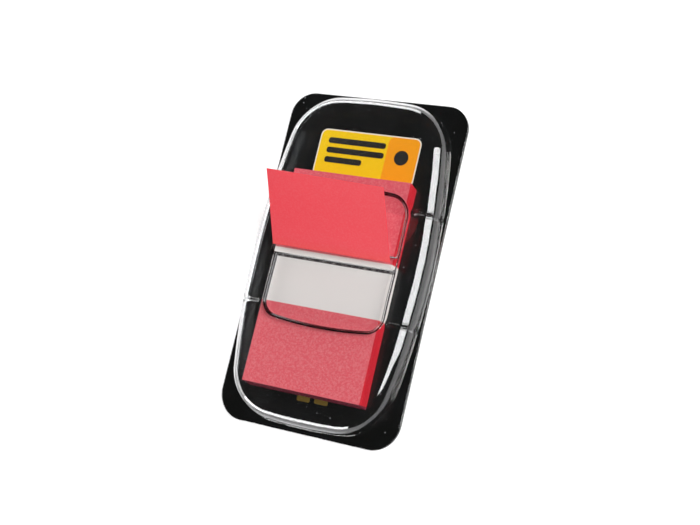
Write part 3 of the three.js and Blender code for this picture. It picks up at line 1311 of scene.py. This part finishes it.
@dataclass(frozen=True)
class Card:
    """The backing card with a soft die-cut edge, and the plain label printed on it."""

    box: NodeBox
    top_corner: float = 4.8
    bottom_corner: float = 5.6
    corner_points: int = 14
    edge: float = 0.12
    edge_angle: float = math.radians(60)
    ink_rise: float = 0.012
    ink_corner_segments: int = 8
    label: tuple[PrintedField, ...] = (
        PrintedField(Ink.RIM, -0.4, 21.7, 22.0, 10.0, 1.4, 0),
        PrintedField(Ink.YELLOW, -0.4, 21.7, 21.5, 9.5, 1.2, 1),
        PrintedField(Ink.ORANGE, 7.0, 21.7, 6.7, 9.5, 1.2, 2),
        PrintedField(Ink.BLACK, -3.1, 24.4, 12.6, 1.2, 0.5, 3),
        PrintedField(Ink.BLACK, -3.1, 22.4, 12.6, 1.2, 0.5, 3),
        PrintedField(Ink.BLACK, -5.3, 20.4, 8.2, 1.2, 0.5, 3),
        PrintedField(Ink.BLACK, 7.0, 22.4, 3.0, 3.0, 1.49, 3),
        # Yellow print under the pad's lower end, painted darker as shade.
        PrintedField(Ink.OCHRE, -1.4, -26.7, 2.8, 1.9, 0.3, 0),
        PrintedField(Ink.OCHRE, 2.4, -26.7, 2.9, 1.7, 0.3, 0),
    )

    def sheet(self) -> bpy.types.Object:
        """Make the card from a flat outline that is extruded and has its edges rounded.

        Returns:
            The card, without its print.
        """
        half = self.box.size / 2
        outline = []
        for quarter, (sx, sy) in enumerate(((1, 1), (-1, 1), (-1, -1), (1, -1))):
            radius = self.top_corner if sy > 0 else self.bottom_corner
            for i in range(self.corner_points + 1):
                turn = math.pi / 2 * (quarter + i / self.corner_points)
                outline.append((
                    sx * (half.x - radius) + radius * math.cos(turn),
                    sy * (half.y - radius) + radius * math.sin(turn),
                ))
        deselect()
        bpy.ops.mesh.primitive_circle_add(vertices=len(outline), radius=1, fill_type="NGON")
        card = bpy.context.object
        for vertex, (x, y) in zip(card.data.vertices, outline):
            vertex.co = Vector((x, y, self.box.low.z)) * MM
        activate(card)
        bpy.ops.object.mode_set(mode="EDIT")
        bpy.ops.mesh.select_all(action="SELECT")
        upwards = (0, 0, self.box.size.z * MM)
        bpy.ops.mesh.extrude_region_move(TRANSFORM_OT_translate={"value": upwards})
        bpy.ops.object.mode_set(mode="OBJECT")
        close_mesh(card)
        apply_modifier(
            card, "BEVEL", width=self.edge * MM, segments=3, limit_method="ANGLE",
            angle_limit=self.edge_angle,
        )
        return card

    def print_field(self, field: PrintedField) -> bpy.types.Object:
        """Lay one printed field on the card as a thin plate with round corners.

        Args:
            field: The field.

        Returns:
            The plate.
        """
        deselect()
        level = self.box.high.z + self.ink_rise * (field.layer + 0.5)
        bpy.ops.mesh.primitive_cube_add(
            size=1,
            location=Vector((field.x, field.y, level)) * MM,
            scale=Vector((field.width, field.height, self.ink_rise)) * MM,
        )
        plate = bpy.context.object
        place(plate)
        weights = plate.data.attributes.new("bevel_weight_edge", "FLOAT", "EDGE")
        for weight, upright in zip(weights.data, upright_edges(plate)):
            weight.value = float(upright)
        apply_modifier(
            plate, "BEVEL", width=field.corner * MM, segments=self.ink_corner_segments,
            limit_method="WEIGHT",
        )
        return plate

    def build(self, finish: BlackCard, inks: tuple[PrintInk, ...]) -> bpy.types.Object:
        """Make the card and its print.

        Args:
            finish: The black card's finish.
            inks: The label's inks.

        Returns:
            The finished piece.
        """
        materials = {ink.ink: ink.material() for ink in inks}
        card = self.sheet()
        smooth(card)
        dress(card, [finish.material()])
        plates = []
        for field in self.label:
            plates.append(self.print_field(field))
            dress(plates[-1], [materials[field.ink]])
        card = joined("printed_card", [card] + plates)
        register(card, "backing_card")
        return card


@dataclass(frozen=True)
class Pad:
    """The pad: a stack of films, fanned out at the lower end, each a hair out of line."""

    box: NodeBox
    coloured: float = 16.2
    films: int = 40
    jitter: float = 0.035
    lean: float = 0.05
    sway: float = 2.2
    fan: float = 0.45
    seed: int = 7

    def finish(self) -> StackedFilm:
        """The film's finish, with the places where its coloured ends begin."""
        low, high = self.box.low, self.box.high
        return StackedFilm(low.y + self.coloured, high.y - self.coloured, low.y, high.z)

    def build(self, finish: StackedFilm) -> bpy.types.Object:
        """Make the pad.

        Args:
            finish: The stacked film's finish.

        Returns:
            The finished piece.
        """
        chance = random.Random(self.seed)
        thickness = self.box.size.z / self.films
        slack = 2 * (self.jitter + self.lean)
        scale = Vector((self.box.size.x - slack, self.box.size.y - slack, thickness)) * MM
        middle = self.box.middle
        sheets = []
        for i in range(self.films):
            share = i / self.films
            x = middle.x + self.lean * math.sin(self.sway * share)
            x += chance.uniform(-self.jitter, self.jitter)
            y = middle.y - self.fan * (1 - share) + chance.uniform(-self.jitter, self.jitter)
            z = self.box.low.z + thickness * (i + 0.5)
            deselect()
            bpy.ops.mesh.primitive_cube_add(size=1, location=Vector((x, y, z)) * MM, scale=scale)
            sheets.append(bpy.context.object)
        pad = joined("film_pad", sheets)
        place(pad)
        dress(pad, [finish.material()])
        register(pad, "tab_pad")
        return pad


@dataclass(frozen=True)
class DrawnTab:
    """The first tab: its clear end flat on the pad, its coloured end up through the slot."""

    box: NodeBox
    pad: NodeBox
    slot_low: float
    length: float = 43.2
    coloured: float = 15.75
    film: float = 0.08
    lip_gap: float = 0.2
    bend_radius: float = 0.35
    angle: float = math.radians(40.8)
    twist: float = math.radians(5)
    curl: float = math.radians(1.5)
    rows: int = 216
    columns: int = 16

    def path(self, angle: float) -> np.ndarray:
        """The film's middle line in Y and Z for one slope of its standing end.

        Args:
            angle: The standing end's slope.

        Returns:
            One point for each row, at equal steps along the film.
        """
        start = self.box.low.y
        bend = self.slot_low + self.lip_gap - self.bend_radius * math.tan(angle / 2)
        step = self.length / self.rows
        y, z, slope = start, self.pad.high.z + self.film, 0.0
        points = []
        for i in range(self.rows + 1):
            points.append((y, z))
            run = (i + 0.5) * step - (bend - start)
            turned = min(max(run / self.bend_radius, 0.0), angle)
            past = max(run - self.bend_radius * angle, 0.0) / self.coloured
            slope = turned - self.curl * math.sin(math.pi * min(past, 1.0))
            y += step * math.cos(slope)
            z += step * math.sin(slope)
        return np.array(points)

    def finish(self) -> TabFilm:
        """The film's finish, with the place where its coloured end begins."""
        return TabFilm(1.0 - self.coloured / self.length)

    def build(self, finish: TabFilm) -> bpy.types.Object:
        """Make the tab.

        Args:
            finish: The film's finish.

        Returns:
            The finished piece.
        """
        sheet = np.empty((self.rows + 1, self.columns + 1, 3))
        for c in range(self.columns + 1):
            share = c / self.columns - 0.5
            sheet[:, c, 0] = self.pad.middle.x + share * self.box.size.x
            sheet[:, c, 1:] = self.path(self.angle + share * self.twist)
        tab = shaped_grid("standing_tab", sheet)
        apply_modifier(tab, "SOLIDIFY", thickness=self.film * MM, offset=0.0)
        smooth(tab)
        dress(tab, [finish.material()])
        register(tab, "drawn_tab")
        return tab


@dataclass(frozen=True)
class Panel:
    """One soft lamp: a square sheet of light that faces the object."""

    name: str
    azimuth: float
    height: float
    distance: float
    width: float
    depth: float
    radiance: float

    def build(self) -> None:
        """Add the lamp. Its azimuth is counted from +X towards +Y, in degrees."""
        a, h = math.radians(self.azimuth), math.radians(self.height)
        out = Vector((math.cos(h) * math.cos(a), math.cos(h) * math.sin(a), math.sin(h)))
        deselect()
        bpy.ops.object.light_add(type="AREA", location=out * self.distance)
        lamp = bpy.context.object
        lamp.name = self.name
        lamp.rotation_euler = out.to_track_quat("Z", "Y").to_euler()
        lamp.data.shape = "RECTANGLE"
        lamp.data.size = self.width
        lamp.data.size_y = self.depth
        lamp.data.energy = math.pi * self.radiance * self.width * self.depth


@dataclass(frozen=True)
class Studio:
    """The pale floor, the soft lamps, the world and the camera."""

    lens: float = 63.69
    sensor: float = 36.0
    nearest: float = 0.01
    camera: Vector = Vector((104.33, -35.34, 214.66))
    turn: tuple[float, float, float] = (14.574, 22.951, 14.497)
    floor_size: float = 6.0
    floor_white: float = 0.7
    seen_glow: float = 0.6
    shown_glow: float = 0.36
    world_level: float = 0.04
    lamps: tuple[Panel, ...] = (
        Panel("right_softbox", 14.0, 36.0, 0.6, 0.42, 0.48, 8.4),
        Panel("back_strip", 125.0, 9.0, 0.6, 0.75, 0.19, 6.5),
        Panel("left_strip", 185.0, 9.0, 0.6, 0.70, 0.19, 4.0),
        Panel("front_strip", 243.0, 9.0, 0.6, 0.70, 0.19, 8.5),
    )

    def floor(self) -> None:
        """Lay the floor, which shows white to the camera and keeps a soft shadow."""
        paint = Painter.material("pale_floor")
        matt = paint.wire("BsdfDiffuse", 0, {"Color": grey(self.floor_white)})
        seen = paint.math("MULTIPLY", paint.ray("Is Camera Ray"), self.seen_glow)
        shown = paint.math("MAXIMUM", paint.ray("Is Glossy Ray"), paint.ray("Is Transmission Ray"))
        level = paint.math("MAXIMUM", seen, paint.math("MULTIPLY", shown, self.shown_glow))
        glow = paint.wire("Emission", 0, {"Color": grey(1.0), "Strength": level})
        deselect()
        bpy.ops.mesh.primitive_plane_add(size=self.floor_size)
        floor = bpy.context.object
        floor.name = "floor"
        dress(floor, [paint.finish(paint.wire("AddShader", 0, {0: matt, 1: glow}))])

    def world(self) -> None:
        """Fill the room with a faint, even light, and show white to the camera past the floor."""
        paint = Painter(bpy.data.worlds.new("studio"))
        fill = paint.wire("Background", 0, {"Strength": self.world_level})
        white = paint.wire("Background", 0, {"Color": grey(1.0)})
        seen = paint.blend(paint.ray("Is Camera Ray"), fill, white)
        bpy.context.scene.world = paint.finish(seen)

    def build(self) -> None:
        """Set up the studio and the camera."""
        self.floor()
        self.world()
        for lamp in self.lamps:
            lamp.build()
        deselect()
        rotation = [math.radians(angle) for angle in self.turn]
        bpy.ops.object.camera_add(location=self.camera * MM, rotation=rotation)
        camera = bpy.context.object
        camera.data.lens = self.lens
        camera.data.sensor_width = self.sensor
        camera.data.clip_start = self.nearest
        bpy.context.scene.camera = camera
        bpy.context.scene.view_settings.view_transform = "Standard"


def main() -> None:
    """Build the pieces in order, then the studio; each piece's face count is logged."""
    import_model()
    card = Card(NodeBox.of("backing_card"))
    pad = Pad(NodeBox.of("tab_pad"))
    cover = Cover(card.box, NodeBox.of("clear_cover"), pad.box)
    tab = DrawnTab(NodeBox.of("drawn_tab"), pad.box, cover.slot_low)

    inks = (
        PrintInk(Ink.RIM, (0.88, 0.83, 0.70, 1.0)),
        PrintInk(Ink.YELLOW, (0.93, 0.62, 0.002, 1.0)),
        PrintInk(Ink.ORANGE, (0.95, 0.36, 0.003, 1.0)),
        # The yellow print's colour under the pad's lower end, painted darker as shade.
        PrintInk(Ink.OCHRE, (0.16, 0.11, 0.012, 1.0)),
        PrintInk(Ink.BLACK, (0.006, 0.006, 0.006, 1.0)),
    )
    card.build(BlackCard(), inks)
    pad.build(pad.finish())
    tab.build(tab.finish())
    cover.build(cover.finish())
    Studio().build()


if __name__ == "__main__":
    main()
